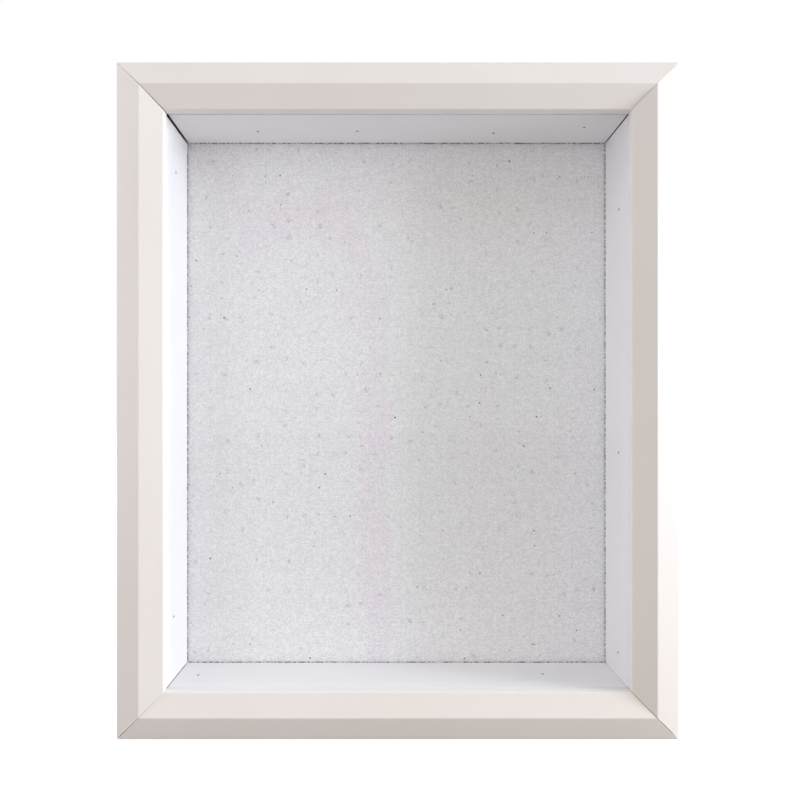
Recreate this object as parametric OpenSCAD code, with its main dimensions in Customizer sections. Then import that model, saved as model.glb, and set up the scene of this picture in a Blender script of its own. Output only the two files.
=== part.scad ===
// Rear-loading shadow box for keepsakes on a board of about 8 by 10 inches.
// Four mitred rails hold the glass behind a bevelled lip. Mitred liner strips keep the glass
// away from a linen-covered board, and turn buttons hold the backing panel in the rabbet.
// Millimetres. +Z is up and the window faces -Y. The origin is the middle of the underside.

/* [Window] */
// Width of the window inside the lip
window_w = 209; // [150:1:260]
// Height of the window inside the lip
window_h = 260; // [200:1:340]

/* [Rails] */
// Depth of a rail, from its crest to its back face
rail_depth = 50.8; // [48:0.1:60]
// Width of the bevel between the outer edge and the crest
outer_bevel_w = 10.8; // [9:0.1:13]
// Width of the bevel between the crest and the window
inner_bevel_w = 9.7; // [8:0.1:11]
// How far the outer edge lies behind the crest
outer_bevel_drop = 3.3; // [1:0.1:4]
// How far the window's edge lies behind the crest
inner_bevel_drop = 4.4; // [2:0.1:5]
// Thickness of the lip in front of the glass
lip_t = 4.9; // [3:0.1:6]
// Thickness of a rail's side wall
wall_t = 15; // [14:0.1:16]
// Rounding of the crest
crest_r = 1.2; // [0.4:0.1:2]
// Rounding of the outer and window edges
edge_r = 0.6; // [0.2:0.1:1]

/* [Inside] */
// Thickness of the glass
glass_t = 2; // [1.5:0.1:3]
// Thickness of a liner strip
liner_t = 5; // [3:0.1:5.4]
// Depth of a liner strip, from the glass towards the board
liner_depth = 33.3; // [20:0.1:33.6]
// Thickness of the board's core
board_t = 2; // [1.6:0.1:2.6]
// Thickness of the linen
linen_t = 0.4; // [0.3:0.1:0.6]
// Width of the linen turned over the board's back edge
linen_lap = 20; // [10:1:30]
// Gap on each side between the loose back and the rabbet
back_gap = 0.7; // [0.4:0.1:1.5]

/* [Turn buttons] */
// Distance from the middle of a top or bottom rail to its buttons
button_x = 55; // [50:1:80]
// Distance from the middle of a side rail to its buttons
button_z = 75; // [50:1:100]
// Distance from the pivot to the centre of the button's round tip
button_reach = 14.5; // [12:0.5:18]
// Radius of the round end at the pivot
button_r = 5; // [4:0.1:6]
// Radius of the round tip
button_tip_r = 3.5; // [2.5:0.1:4]
// Thickness of a button
button_t = 1.2; // [0.8:0.1:1.5]

/* [Hardware] */
// Length of a sawtooth hanger
hanger_l = 45; // [40:1:50]
// Height of a bumper
bumper_h = 3.6; // [3.6:0.1:5]
// Radius of a bumper
bumper_r = 5; // [4:0.1:6]

/* [Hidden] */

// Sides are numbered clockwise from the top as seen from the front, and corner n is
// the corner that side n starts from: 0 top left, 1 top right, 2 bottom right, 3 bottom left.
TOP = 0;
RIGHT = 1;
BOTTOM = 2;
LEFT = 3;
SIDES = [TOP, RIGHT, BOTTOM, LEFT];

face_w = outer_bevel_w + inner_bevel_w;
outer_w = window_w + 2 * face_w;
outer_h = window_h + 2 * face_w;

// Depths along Y, from the crest to the back face
crest_y = -rail_depth / 2;
back_y = rail_depth / 2;
glass_y = crest_y + inner_bevel_drop + lip_t;
liner_y = glass_y + glass_t;
board_clearance = 0.8;
linen_y = liner_y + liner_depth + board_clearance;
board_y = linen_y + linen_t;
linen_back_y = board_y + board_t + linen_t;
panel_t = back_y - linen_back_y - 0.1;

// The rabbet is the space between the side walls
rabbet_w = outer_w - 2 * wall_t;
rabbet_h = outer_h - 2 * wall_t;
glass_gap = 0.3;

// Width of the open joint at each corner: hairlines in the rails, wider in the liner
rail_joint = [0.16, 0.06, 0.2, 0.16];
liner_joint = [1.1, 0.5, 0.06, 0.3];

// Where brads pin each liner strip: along its side from the side's middle, and behind the strip's middle
brad_places = [
    [[67, 2.3], [19, 2.1], [-47, 4.5], [-89, -2.5]],
    [[-119, -2.7], [-24, -3.3], [91, -4.1]],
    [[-95, -0.5], [70, 0.8]],
    [[-109, -2.7], [101, -6]]
];
brad_head_r = 0.55;
brad_shank_r = 0.4;
brad_l = 14;
brad_y = liner_y + liner_depth / 2;

// Screws of the turn buttons: the hole in a button is a running fit on the shank
screw_r = 1.45;
screw_fit = 0.05;
screw_head_r = 2.9;
screw_head_h = 1.8;
screw_l = 12;
button_lift = 0.2;
button_y = back_y + button_lift;
screw_head_y = button_y + button_t + 0.1;

// Sawtooth hanger: end tabs lie on the rail, and the toothed bridge stands off it
hanger_t = 0.8;
hanger_h = 9;
hanger_lift = 1.3;
hanger_tab = 7.5;
hanger_ramp = 2;
tooth_pitch = 2.4;
tooth_h = 1.4;
nail_r = 0.7;
nail_head_r = 1.7;
nail_head_h = 0.5;
nail_l = 9;

// V-nails, driven across each mitre from the back
v_leg = 5;
v_t = 0.6;
v_depth = 10;
v_sink = 0.3;
v_places = [3.5, 9];

bumper_inset = 22;
past = 1;
$fn = 48;

rail_white = [0.93, 0.92, 0.90];
liner_white = [0.93, 0.93, 0.95];
linen_white = [0.86, 0.85, 0.87];
grey_board = [0.60, 0.58, 0.54];
hardboard = [0.45, 0.32, 0.20];
steel = [0.72, 0.72, 0.73];
zinc = [0.80, 0.78, 0.70];

function side_length(side) = side % 2 == 0 ? outer_w : outer_h;
function half_across(side) = (side % 2 == 0 ? outer_h : outer_w) / 2;

// Points of an arc that rounds the corner b of the path a-b-c
function rounded(a, b, c, r) =
    let (
        p = (a - b) / norm(a - b),
        q = (c - b) / norm(c - b),
        half = acos(p * q) / 2,
        middle = b + (p + q) / norm(p + q) * r / sin(half),
        start = b + p * r / tan(half) - middle,
        end = b + q * r / tan(half) - middle,
        steps = 6
    )
    [for (i = [0 : steps])
        let (mix = start * (steps - i) + end * i) middle + mix / norm(mix) * r];

// Section of a rail: X runs inwards from the outer face and Y backwards
module rail_section() {
    outer_edge = [0, crest_y + outer_bevel_drop];
    crest = [outer_bevel_w, crest_y];
    window_edge = [face_w, crest_y + inner_bevel_drop];
    lip_back = [face_w, glass_y];
    polygon(concat(
        [[0, back_y]],
        rounded([0, back_y], outer_edge, crest, edge_r),
        rounded(outer_edge, crest, window_edge, crest_r),
        rounded(crest, window_edge, lip_back, edge_r),
        [lip_back, [wall_t, glass_y], [wall_t, back_y]]
    ));
}

// Puts its children on one side of the frame. They are drawn for a bottom rail:
// X along the side, Z inwards from the outer face, Y backwards.
module on_side(side) {
    translate([0, 0, outer_h / 2])
        rotate([0, 180 + 90 * side, 0])
            translate([0, 0, -half_across(side)])
                children();
}

// Sweeps a section along X and cuts both ends at 45 degrees, short of the mitre by half a joint
module mitred_bar(length, width, left_joint, right_joint) {
    left = length / 2 - left_joint / sqrt(2);
    right = length / 2 - right_joint / sqrt(2);
    intersection() {
        translate([length / 2, 0, 0])
            rotate([0, -90, 0])
                linear_extrude(length)
                    children();
        rotate([90, 0, 0])
            linear_extrude(2 * rail_depth, center = true)
                polygon([
                    [-left - past, -past],
                    [right + past, -past],
                    [right - width - past, width + past],
                    [-left + width + past, width + past]
                ]);
    }
}

// A V-nail seen from the back is two legs at right angles, one in each rail of the corner
module v_nail_shape(place, y_from, y_to) {
    corner_x = outer_w / 2 - place;
    translate([corner_x - v_leg, y_from, place - v_t / 2])
        cube([v_leg + v_t / 2, y_to - y_from, v_t]);
    translate([corner_x - v_t / 2, y_from, place - v_t / 2])
        cube([v_t, y_to - y_from, v_leg + v_t / 2]);
}

module v_nail_set(y_to) {
    for (z_end = [0, 1], x_end = [0, 1], place = v_places)
        translate([0, 0, z_end * outer_h])
            mirror([0, 0, z_end])
                mirror([x_end, 0, 0])
                    v_nail_shape(place, back_y - v_depth, y_to);
}

// A straight pin along -Z: round head at the origin's level, then the shank
module brad(r_head, r_shank) {
    head_h = 0.6;
    translate([0, 0, -head_h])
        cylinder(h = head_h, r = r_head);
    translate([0, 0, -brad_l])
        cylinder(h = brad_l, r = r_shank);
}

module brads(side) {
    on_side(side)
        for (place = brad_places[side])
            translate([place[0], brad_y + place[1], wall_t + liner_t])
                brad(brad_head_r, brad_shank_r);
}

// Places a child at both turn-button pivots of a side; the second is turned end for end
module at_pivots(side) {
    reach = side % 2 == 0 ? button_x : button_z;
    on_side(side)
        for (end = [0, 1])
            mirror([end, 0, 0])
                translate([reach, 0, wall_t / 2])
                    children();
}

module screw_shank(r, length) {
    tip = 3;
    translate([0, screw_head_y, 0])
        rotate([90, 0, 0]) {
            cylinder(h = length - tip, r = r);
            translate([0, 0, length - tip])
                cylinder(h = tip, r1 = r, r2 = 0.3);
        }
}

module screw_holes(side) {
    at_pivots(side)
        screw_shank(screw_r, screw_l);
}

// The two nails of a sawtooth hanger, or their holes
module hanger_nail_shanks() {
    for (end = [-1, 1])
        translate([end * (hanger_l - hanger_tab) / 2, back_y + hanger_t, wall_t / 2])
            rotate([90, 0, 0]) {
                cylinder(h = nail_l - 2, r = nail_r);
                translate([0, 0, nail_l - 2])
                    cylinder(h = 2, r1 = nail_r, r2 = 0.1);
            }
}

module frame_side(side) {
    next = (side + 1) % 4;
    color(rail_white)
        difference() {
            on_side(side)
                mitred_bar(side_length(side), face_w, rail_joint[next], rail_joint[side])
                    rail_section();
            v_nail_set(back_y + past);
            brads(side);
            screw_holes(side);
            if (side == TOP || side == LEFT)
                on_side(side)
                    hanger_nail_shanks();
        }
}

module frame_rail_top() { frame_side(TOP); }
module frame_rail_right() { frame_side(RIGHT); }
module frame_rail_bottom() { frame_side(BOTTOM); }
module frame_rail_left() { frame_side(LEFT); }

module corner_v_nails() {
    color(steel)
        v_nail_set(back_y - v_sink);
}

module glass_pane() {
    w = rabbet_w - 2 * glass_gap;
    h = rabbet_h - 2 * glass_gap;
    color([0.80, 0.90, 0.88, 0.30])
        translate([-w / 2, glass_y, (outer_h - h) / 2])
            cube([w, glass_t, h]);
}

module liner_side(side) {
    next = (side + 1) % 4;
    color(liner_white)
        difference() {
            on_side(side)
                translate([0, 0, wall_t])
                    mitred_bar(side_length(side) - 2 * wall_t, liner_t,
                               liner_joint[next], liner_joint[side])
                        translate([0, liner_y])
                            square([liner_t, liner_depth]);
            brads(side);
        }
}

module liner_top() { liner_side(TOP); }
module liner_right() { liner_side(RIGHT); }
module liner_bottom() { liner_side(BOTTOM); }
module liner_left() { liner_side(LEFT); }

module liner_brads() {
    color(steel)
        for (side = SIDES)
            brads(side);
}

// A plate centred in the rabbet, with the same margin on all four sides
module rabbet_plate(margin, y, t) {
    w = rabbet_w - 2 * margin;
    h = rabbet_h - 2 * margin;
    translate([-w / 2, y, (outer_h - h) / 2])
        cube([w, t, h]);
}

// Linen over the front of the board, round its edges and lapped over its back
module linen_cover() {
    core_gap = back_gap + linen_t;
    color(linen_white)
        difference() {
            rabbet_plate(back_gap, linen_y, linen_back_y - linen_y);
            rabbet_plate(core_gap, board_y, board_t);
            rabbet_plate(core_gap + linen_lap, board_y, board_t + past);
        }
}

module display_board() {
    color(grey_board)
        rabbet_plate(back_gap + linen_t, board_y, board_t);
}

module backing_panel() {
    color(hardboard)
        rabbet_plate(back_gap, linen_back_y, panel_t);
}

// Outline of a turn button: two round ends joined by straight tangents, tip along +X
module button_outline() {
    steps = 16;
    tangent = 90 - asin((button_r - button_tip_r) / button_reach);
    polygon(concat(
        [for (i = [0 : steps])
            let (turn = tangent + i / steps * (360 - 2 * tangent))
            button_r * [cos(turn), sin(turn)]],
        [for (i = [0 : steps])
            let (turn = -tangent + i / steps * 2 * tangent)
            [button_reach, 0] + button_tip_r * [cos(turn), sin(turn)]]
    ));
}

// One turn button, lying open along its rail with its tip away from the rail's middle
module turn_button(side, end) {
    reach = side % 2 == 0 ? button_x : button_z;
    color(zinc)
        on_side(side)
            mirror([end, 0, 0])
                translate([reach, button_y + button_t, wall_t / 2])
                    rotate([90, 0, 0])
                        difference() {
                            linear_extrude(button_t)
                                button_outline();
                            translate([0, 0, -past])
                                cylinder(h = button_t + 2 * past, r = screw_r + screw_fit);
                        }
}

module turn_button_top_left() { turn_button(TOP, 0); }
module turn_button_top_right() { turn_button(TOP, 1); }
module turn_button_right_upper() { turn_button(RIGHT, 0); }
module turn_button_right_lower() { turn_button(RIGHT, 1); }
module turn_button_bottom_right() { turn_button(BOTTOM, 0); }
module turn_button_bottom_left() { turn_button(BOTTOM, 1); }
module turn_button_left_lower() { turn_button(LEFT, 0); }
module turn_button_left_upper() { turn_button(LEFT, 1); }

// Pan head with a cross recess, on a pointed shank
module button_screw() {
    slot_l = 3.2;
    slot_t = 0.8;
    slot_depth = 1;
    screw_shank(screw_r, screw_l);
    translate([0, screw_head_y, 0])
        rotate([-90, 0, 0])
            difference() {
                union() {
                    cylinder(h = screw_head_h / 2, r = screw_head_r);
                    translate([0, 0, screw_head_h / 2])
                        cylinder(h = screw_head_h / 2, r1 = screw_head_r, r2 = screw_head_r * 0.7);
                }
                for (turn = [0, 90])
                    rotate([0, 0, turn])
                        translate([-slot_l / 2, -slot_t / 2, screw_head_h - slot_depth])
                            cube([slot_l, slot_t, slot_depth + past]);
            }
}

module turn_button_screws() {
    color(steel)
        for (side = SIDES)
            at_pivots(side)
                button_screw();
}

// Strip bent up into a low bridge, with teeth along the bridge's inner edge
module sawtooth_hanger(side) {
    tab_end = hanger_l / 2 - hanger_tab;
    bridge_end = tab_end - hanger_ramp;
    teeth = floor(2 * bridge_end / tooth_pitch);
    edge_z = (wall_t + hanger_h) / 2;
    half_side = [
        [hanger_l / 2, 0], [hanger_l / 2, hanger_t], [tab_end, hanger_t],
        [bridge_end, hanger_lift + hanger_t]
    ];
    half_under = [[tab_end, 0], [bridge_end, hanger_lift]];
    color(zinc)
        on_side(side)
            difference() {
                translate([0, back_y, (wall_t - hanger_h) / 2])
                    linear_extrude(hanger_h)
                        polygon(concat(
                            half_side,
                            [for (i = [3 : -1 : 0]) [-half_side[i][0], half_side[i][1]]],
                            [for (p = half_under) [-p[0], p[1]]],
                            [for (i = [1 : -1 : 0]) half_under[i]]
                        ));
                for (i = [0 : teeth - 1])
                    translate([(i - (teeth - 1) / 2) * tooth_pitch, back_y + hanger_lift - past, edge_z])
                        rotate([-90, 0, 0])
                            linear_extrude(hanger_t + 2 * past)
                                polygon([
                                    [-tooth_pitch * 0.4, -past],
                                    [tooth_pitch * 0.4, -past],
                                    [tooth_pitch * 0.4, 0],
                                    [0, tooth_h],
                                    [-tooth_pitch * 0.4, 0]
                                ]);
                hanger_nail_shanks();
            }
}

module sawtooth_hanger_top() { sawtooth_hanger(TOP); }
module sawtooth_hanger_side() { sawtooth_hanger(LEFT); }

module hanger_nails() {
    color(steel)
        for (side = [TOP, LEFT])
            on_side(side) {
                hanger_nail_shanks();
                for (end = [-1, 1])
                    translate([end * (hanger_l - hanger_tab) / 2, back_y + hanger_t, wall_t / 2])
                        rotate([-90, 0, 0])
                            cylinder(h = nail_head_h, r = nail_head_r);
            }
}

module wall_bumpers() {
    color([0.85, 0.86, 0.86])
        for (side = [TOP, BOTTOM], end = [-1, 1])
            on_side(side)
                translate([end * (outer_w / 2 - bumper_inset), back_y, wall_t / 2])
                    rotate([-90, 0, 0]) {
                        cylinder(h = bumper_h / 2, r = bumper_r);
                        translate([0, 0, bumper_h / 2])
                            cylinder(h = bumper_h / 2, r1 = bumper_r, r2 = bumper_r * 0.7);
                    }
}

frame_rail_top();
frame_rail_bottom();
frame_rail_left();
frame_rail_right();
corner_v_nails();
glass_pane();
liner_top();
liner_bottom();
liner_left();
liner_right();
liner_brads();
linen_cover();
display_board();
backing_panel();
turn_button_top_left();
turn_button_top_right();
turn_button_bottom_left();
turn_button_bottom_right();
turn_button_left_upper();
turn_button_left_lower();
turn_button_right_upper();
turn_button_right_lower();
turn_button_screws();
sawtooth_hanger_top();
sawtooth_hanger_side();
hanger_nails();
wall_bumpers();
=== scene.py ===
"""Looks of the rear-loading shadow box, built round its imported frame. In metres, +Z up, window to -Y."""
import math
import random

import bmesh
import bpy
from mathutils import Matrix, Vector, noise


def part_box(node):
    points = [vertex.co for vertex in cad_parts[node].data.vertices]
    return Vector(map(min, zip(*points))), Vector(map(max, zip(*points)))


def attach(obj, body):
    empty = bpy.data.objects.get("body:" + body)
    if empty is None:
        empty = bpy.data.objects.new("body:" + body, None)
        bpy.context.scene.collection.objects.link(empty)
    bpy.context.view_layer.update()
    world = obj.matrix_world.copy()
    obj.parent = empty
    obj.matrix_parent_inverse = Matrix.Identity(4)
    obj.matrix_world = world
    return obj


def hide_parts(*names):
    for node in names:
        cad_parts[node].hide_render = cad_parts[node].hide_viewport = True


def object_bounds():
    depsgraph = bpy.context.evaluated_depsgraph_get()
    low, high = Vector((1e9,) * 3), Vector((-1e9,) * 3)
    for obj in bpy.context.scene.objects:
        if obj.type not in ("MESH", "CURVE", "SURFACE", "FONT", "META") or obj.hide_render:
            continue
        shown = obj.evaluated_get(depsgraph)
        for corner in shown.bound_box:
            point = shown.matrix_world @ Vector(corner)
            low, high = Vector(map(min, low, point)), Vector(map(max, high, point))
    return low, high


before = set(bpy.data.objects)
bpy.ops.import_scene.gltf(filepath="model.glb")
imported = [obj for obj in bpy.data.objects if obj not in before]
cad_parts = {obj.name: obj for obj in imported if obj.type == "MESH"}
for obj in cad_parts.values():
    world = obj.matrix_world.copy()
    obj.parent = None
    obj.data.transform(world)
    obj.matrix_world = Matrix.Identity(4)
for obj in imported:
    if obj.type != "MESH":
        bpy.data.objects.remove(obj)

cad_low, cad_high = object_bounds()

MM = 0.001
TOP, RIGHT, BOTTOM, LEFT = range(4)
SIDE_NAMES = ("top", "right", "bottom", "left")

# ---- Sizes read from the frame -------------------------------------------------------------

WIDTH = cad_high.x - cad_low.x
HEIGHT = cad_high.z - cad_low.z
BACK_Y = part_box("frame_rail_bottom")[1].y
GLASS_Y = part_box("glass_pane")[0].y
WALL_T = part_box("liner_bottom")[0].z
LINER_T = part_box("liner_bottom")[1].z - WALL_T
LINER_FRONT_Y, LINER_BACK_Y = (corner.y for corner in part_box("liner_bottom"))
BUTTON_LOW_Y, BUTTON_HIGH_Y = (corner.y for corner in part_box("turn_button_top_left"))
SCREW_HIGH_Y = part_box("turn_button_screws")[1].y
BUMPER_HIGH_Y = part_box("wall_bumpers")[1].y
NAIL_HIGH_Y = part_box("hanger_nails")[1].y

# The rail's section, as the CAD source states it
RAIL_DEPTH = 50.8 * MM
OUTER_BEVEL_W, OUTER_DROP = 10.8 * MM, 3.3 * MM
INNER_BEVEL_W, INNER_DROP = 9.7 * MM, 4.4 * MM
CREST_R, EDGE_R = 1.2 * MM, 0.6 * MM
CREST_Y = BACK_Y - RAIL_DEPTH
FACE_W = OUTER_BEVEL_W + INNER_BEVEL_W

# How the mitre at the corner where each side starts differs from the CAD cut: moved back, then opened inwards
MITRES = {
    TOP: (-0.10 * MM, 0.20 * MM),
    RIGHT: (-0.02 * MM, 0),
    BOTTOM: (0.05 * MM, -0.10 * MM),
    LEFT: (0.06 * MM, -0.18 * MM),
}

# A face counts as a mitre's cut, the back or the lip where its normal goes this far along, back or inwards
MITRE_FACE, BACK_FACE, LIP_FACE = 0.68, 0.7, 0.85

# Hardware places along a side, from its middle
BUTTON_X, BUTTON_Z = 55 * MM, 75 * MM
# Brads of each side: along it from its middle, and behind the middle of the strip
BRAD_PLACES = {
    TOP: ((67, 2.3), (19, 2.1), (-47, 4.5), (-89, -2.5)),
    RIGHT: ((-119, -2.7), (-24, -3.3), (91, -4.1)),
    BOTTOM: ((-95, -0.5), (70, 0.8)),
    LEFT: ((-109, -2.7), (101, -6)),
}
BUMPER_INSET = 22 * MM
HANGER_NAIL_X = (45 - 7.5) / 2 * MM

# Width of the linen that the liner strips hide on each side
EDGE_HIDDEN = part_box("liner_left")[1].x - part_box("linen_cover")[0].x

collection = bpy.context.scene.collection


# ---- Node helpers ----------------------------------------------------------------------------


class Shader:
    """A material with one Principled shader, and short calls to add and link nodes."""

    def __init__(self, name):
        self.material = bpy.data.materials.new(name)
        self.material.use_nodes = True
        self.tree = self.material.node_tree
        self.main = self.tree.nodes["Principled BSDF"]
        self.output = self.tree.nodes["Material Output"]
        self._place = None

    def node(self, kind, settings=None, **inputs):
        made = self.tree.nodes.new(kind)
        for key, value in (settings or {}).items():
            setattr(made, key, value)
        for key, value in inputs.items():
            self.put(made.inputs[key.replace("_", " ")], value)
        return made

    def put(self, socket, value):
        if isinstance(value, bpy.types.NodeSocket):
            self.tree.links.new(value, socket)
        elif isinstance(value, bpy.types.Node):
            self.tree.links.new(value.outputs[0], socket)
        else:
            socket.default_value = value

    def set(self, **inputs):
        for key, value in inputs.items():
            self.put(self.main.inputs[key.replace("_", " ")], value)

    def place(self, scale=None):
        """Object coordinates, or a copy of them stretched by scale."""
        if self._place is None:
            self._place = self.node("ShaderNodeTexCoord").outputs["Object"]
        if scale is None:
            return self._place
        made = self.node("ShaderNodeVectorMath", {"operation": "MULTIPLY"})
        self.put(made.inputs[0], self._place)
        made.inputs[1].default_value = scale
        return made.outputs[0]

    def noise(self, scale, detail=2.0, roughness=0.5, vector=None):
        made = self.node("ShaderNodeTexNoise", Scale=scale, Detail=detail, Roughness=roughness)
        self.put(made.inputs["Vector"], vector or self.place())
        return made.outputs["Fac"]

    def math(self, operation, a, b=0.0, c=0.0):
        made = self.node("ShaderNodeMath", {"operation": operation})
        for socket, value in zip(made.inputs, (a, b, c)):
            self.put(socket, value)
        return made.outputs[0]

    def remap(self, value, low, high, to_low=0.0, to_high=1.0, smooth=False):
        made = self.node("ShaderNodeMapRange", {"interpolation_type": "SMOOTHSTEP" if smooth else "LINEAR"})
        self.put(made.inputs["Value"], value)
        for key, number in (("From Min", low), ("From Max", high), ("To Min", to_low), ("To Max", to_high)):
            made.inputs[key].default_value = number
        return made.outputs["Result"]

    def mix(self, share, a, b, mode="MIX"):
        made = self.node("ShaderNodeMix", {"data_type": "RGBA", "blend_type": mode})
        self.put(made.inputs[0], share)
        self.put(made.inputs[6], a)
        self.put(made.inputs[7], b)
        return made.outputs[2]

    def bump(self, height, distance, strength=1.0, below=None):
        made = self.node("ShaderNodeBump", Strength=strength, Distance=distance)
        self.put(made.inputs["Height"], height)
        if below is not None:
            self.put(made.inputs["Normal"], below)
        return made.outputs["Normal"]


def srgb(r, g, b):
    """Linear colour of a display colour given from 0 to 255."""
    linear = [v / 255 / 12.92 if v <= 10 else ((v / 255 + 0.055) / 1.055) ** 2.4 for v in (r, g, b)]
    return (*linear, 1.0)


# ---- Materials -------------------------------------------------------------------------------


def painted_wood(name, colour, shade, roughness, along, speck_share):
    """Satin paint over wood: faint roller texture, the grain showing through one way, and rare specks."""
    s = Shader(name)
    stretch = [1.0, 1.0, 1.0]
    stretch["XYZ".index(along)] = 0.035
    grain = s.noise(900, 3.0, 0.6, s.place(stretch))
    cloud = s.noise(14, 3.0, 0.55)
    peel = s.noise(1500, 2.0, 0.5)
    tone = s.mix(s.remap(cloud, 0.3, 0.7, 0.0, 1.0), colour, shade)
    tone = s.mix(s.remap(grain, 0.35, 0.75, 0.0, 0.10), tone, shade)
    cells = s.node("ShaderNodeTexVoronoi", Scale=95.0)
    s.put(cells.inputs["Vector"], s.place())
    dot = s.math("LESS_THAN", cells.outputs["Distance"], 0.028)
    pick = s.node("ShaderNodeSeparateColor")
    s.put(pick.inputs[0], cells.outputs["Color"])
    chosen = s.math("LESS_THAN", pick.outputs[0], speck_share)
    tone = s.mix(s.math("MULTIPLY", dot, chosen), tone, srgb(96, 88, 80))
    s.set(Base_Color=tone, Roughness=s.remap(cloud, 0.3, 0.7, roughness - 0.04, roughness + 0.05))
    s.set(Coat_Weight=0.15, Coat_Roughness=0.25, Specular_IOR_Level=0.45)
    fine = s.bump(peel, 0.02 * MM, 0.35)
    s.set(Normal=s.bump(grain, 0.03 * MM, 0.3, below=fine))
    return s.material


def raw_wood(name, along):
    """Pale unfinished wood with fine straight grain along one axis."""
    s = Shader(name)
    stretch = [1.0, 1.0, 1.0]
    stretch["XYZ".index(along)] = 0.04
    warped = s.noise(260, 4.0, 0.6, s.place(stretch))
    pores = s.noise(2600, 2.0, 0.7, s.place(stretch))
    rings = s.math("FRACT", s.math("MULTIPLY", warped, 9.0))
    tone = s.mix(s.remap(rings, 0.0, 1.0, 0.0, 0.8), srgb(214, 189, 152), srgb(190, 158, 116))
    tone = s.mix(s.remap(pores, 0.62, 0.75, 0.0, 0.6), tone, srgb(140, 104, 68))
    cloud = s.noise(40, 3.0, 0.6)
    tone = s.mix(s.remap(cloud, 0.52, 0.72, 0.0, 0.55, smooth=True), tone, srgb(232, 226, 216))
    s.set(Base_Color=tone, Roughness=0.72, Specular_IOR_Level=0.3)
    s.set(Normal=s.bump(pores, 0.06 * MM, 0.5, below=s.bump(rings, 0.03 * MM, 0.3)))
    return s.material


def linen_cloth():
    """Plain-woven linen: uneven threads, short slubs and sparse dark flecks.

    A painted shadow line, broken into dashes, runs where the liner strips rest on it. The gaps between
    threads are painted darker as shade, and a painted pink tint follows an arched edge of light left of the
    middle.
    """
    s = Shader("linen_weave")
    warp_pitch, weft_pitch = 0.88 * MM, 0.64 * MM
    axes = s.node("ShaderNodeSeparateXYZ")
    s.put(axes.inputs[0], s.place())
    across, up = axes.outputs["X"], axes.outputs["Z"]
    drift_x = s.math("MULTIPLY", s.math("SUBTRACT", s.noise(45, 3.0), 0.5), 1.5 * MM)
    drift_z = s.math("MULTIPLY", s.math("SUBTRACT", s.noise(55, 3.0), 0.5), 1.3 * MM)
    warp_at = s.math("DIVIDE", s.math("ADD", across, drift_x), warp_pitch)
    weft_at = s.math("DIVIDE", s.math("ADD", up, drift_z), weft_pitch)

    def thread(at):
        """Height across a round thread, the thread's number and its own random tone."""
        wave = s.math("ABSOLUTE", s.math("SINE", s.math("MULTIPLY", at, math.pi)))
        number = s.math("FLOOR", at)
        own = s.node("ShaderNodeTexWhiteNoise", {"noise_dimensions": "1D"})
        s.put(own.inputs["W"], number)
        return wave, number, own.outputs["Value"]

    warp, warp_number, warp_tone = thread(warp_at)
    weft, weft_number, weft_tone = thread(weft_at)
    over = s.math("PINGPONG", s.math("ADD", warp_number, weft_number), 1.0)
    under = s.math("SUBTRACT", 1.0, over)
    height = s.math("ADD", s.math("MULTIPLY", warp, over), s.math("MULTIPLY", weft, under))
    tone = s.math("ADD", s.math("MULTIPLY", warp_tone, over), s.math("MULTIPLY", weft_tone, under))
    crossing = s.node("ShaderNodeTexWhiteNoise", {"noise_dimensions": "2D"})
    s.put(crossing.inputs["Vector"], s.node("ShaderNodeCombineXYZ", X=warp_number, Y=weft_number))
    slub_h = s.noise(900, 2.0, 0.6, s.place((0.22, 1, 1)))
    slub_v = s.noise(900, 2.0, 0.6, s.place((1, 1, 0.25)))
    nap = s.noise(1000, 3.0, 0.7)
    cloud = s.noise(22, 3.0, 0.6)

    # Thread crowns lighter and the gaps between threads darker: painted light and shade of the weave.
    thread_crown_light, thread_gap_shade = srgb(255, 254, 255), srgb(238, 236, 242)
    colour = s.mix(s.remap(height, 0.0, 0.75), thread_gap_shade, thread_crown_light)
    colour = s.mix(s.remap(crossing.outputs["Value"], 0.0, 1.0, 0.0, 0.56), colour, srgb(214, 212, 218))
    colour = s.mix(s.remap(tone, 0.0, 1.0, 0.0, 0.18), colour, srgb(222, 220, 225))
    colour = s.mix(s.remap(nap, 0.52, 0.74, 0.0, 0.25), colour, srgb(200, 199, 206))
    colour = s.mix(s.remap(slub_h, 0.60, 0.76, 0.0, 0.34, smooth=True), colour, srgb(184, 183, 190))
    colour = s.mix(s.remap(slub_v, 0.62, 0.78, 0.0, 0.22, smooth=True), colour, srgb(188, 187, 194))
    colour = s.mix(s.remap(cloud, 0.35, 0.65, 0.0, 0.06), colour, srgb(232, 231, 236))

    flat = s.node("ShaderNodeCombineXYZ", X=across, Y=up)
    frayed = s.remap(s.noise(1300, 2.0, 0.6), 0.42, 0.60)
    marks = scattered_dots(s, flat, nap, 130, (0.2, 1.5), 0.5, 0.8, (0.3, 0.7, 0), ragged=5.0)
    marks = s.math("MULTIPLY", marks, frayed)
    colour = s.mix(s.math("MULTIPLY", marks, 0.45), colour, srgb(130, 124, 132))
    flecks = scattered_dots(s, flat, nap, 140, (0.18, 0.50), 0.10, 0.15, (0, 0, 0), ragged=0.8)
    colour = s.mix(s.math("MULTIPLY", flecks, 0.92), colour, srgb(34, 30, 34))

    # A painted pink tint where the edge of a pool of light arches over the cloth.
    pink_light_arch = s.math("MULTIPLY", painted_light_arch_share(s, across, up), 0.7)
    colour = s.mix(pink_light_arch, colour, (1.0, 0.935, 0.99, 1.0), mode="MULTIPLY")
    # A painted shadow line, broken into dashes, where the liner strips rest on the cloth.
    colour = s.mix(painted_contact_shade_share(s, across, up), colour, srgb(44, 40, 46))

    s.set(Base_Color=colour, Roughness=0.93, Specular_IOR_Level=0.2)
    s.set(Sheen_Weight=0.15, Sheen_Roughness=0.5)
    below = s.bump(slub_h, 0.15 * MM, 0.5)
    s.set(Normal=s.bump(height, 0.12 * MM, 0.7, below=below))
    return s.material


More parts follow.
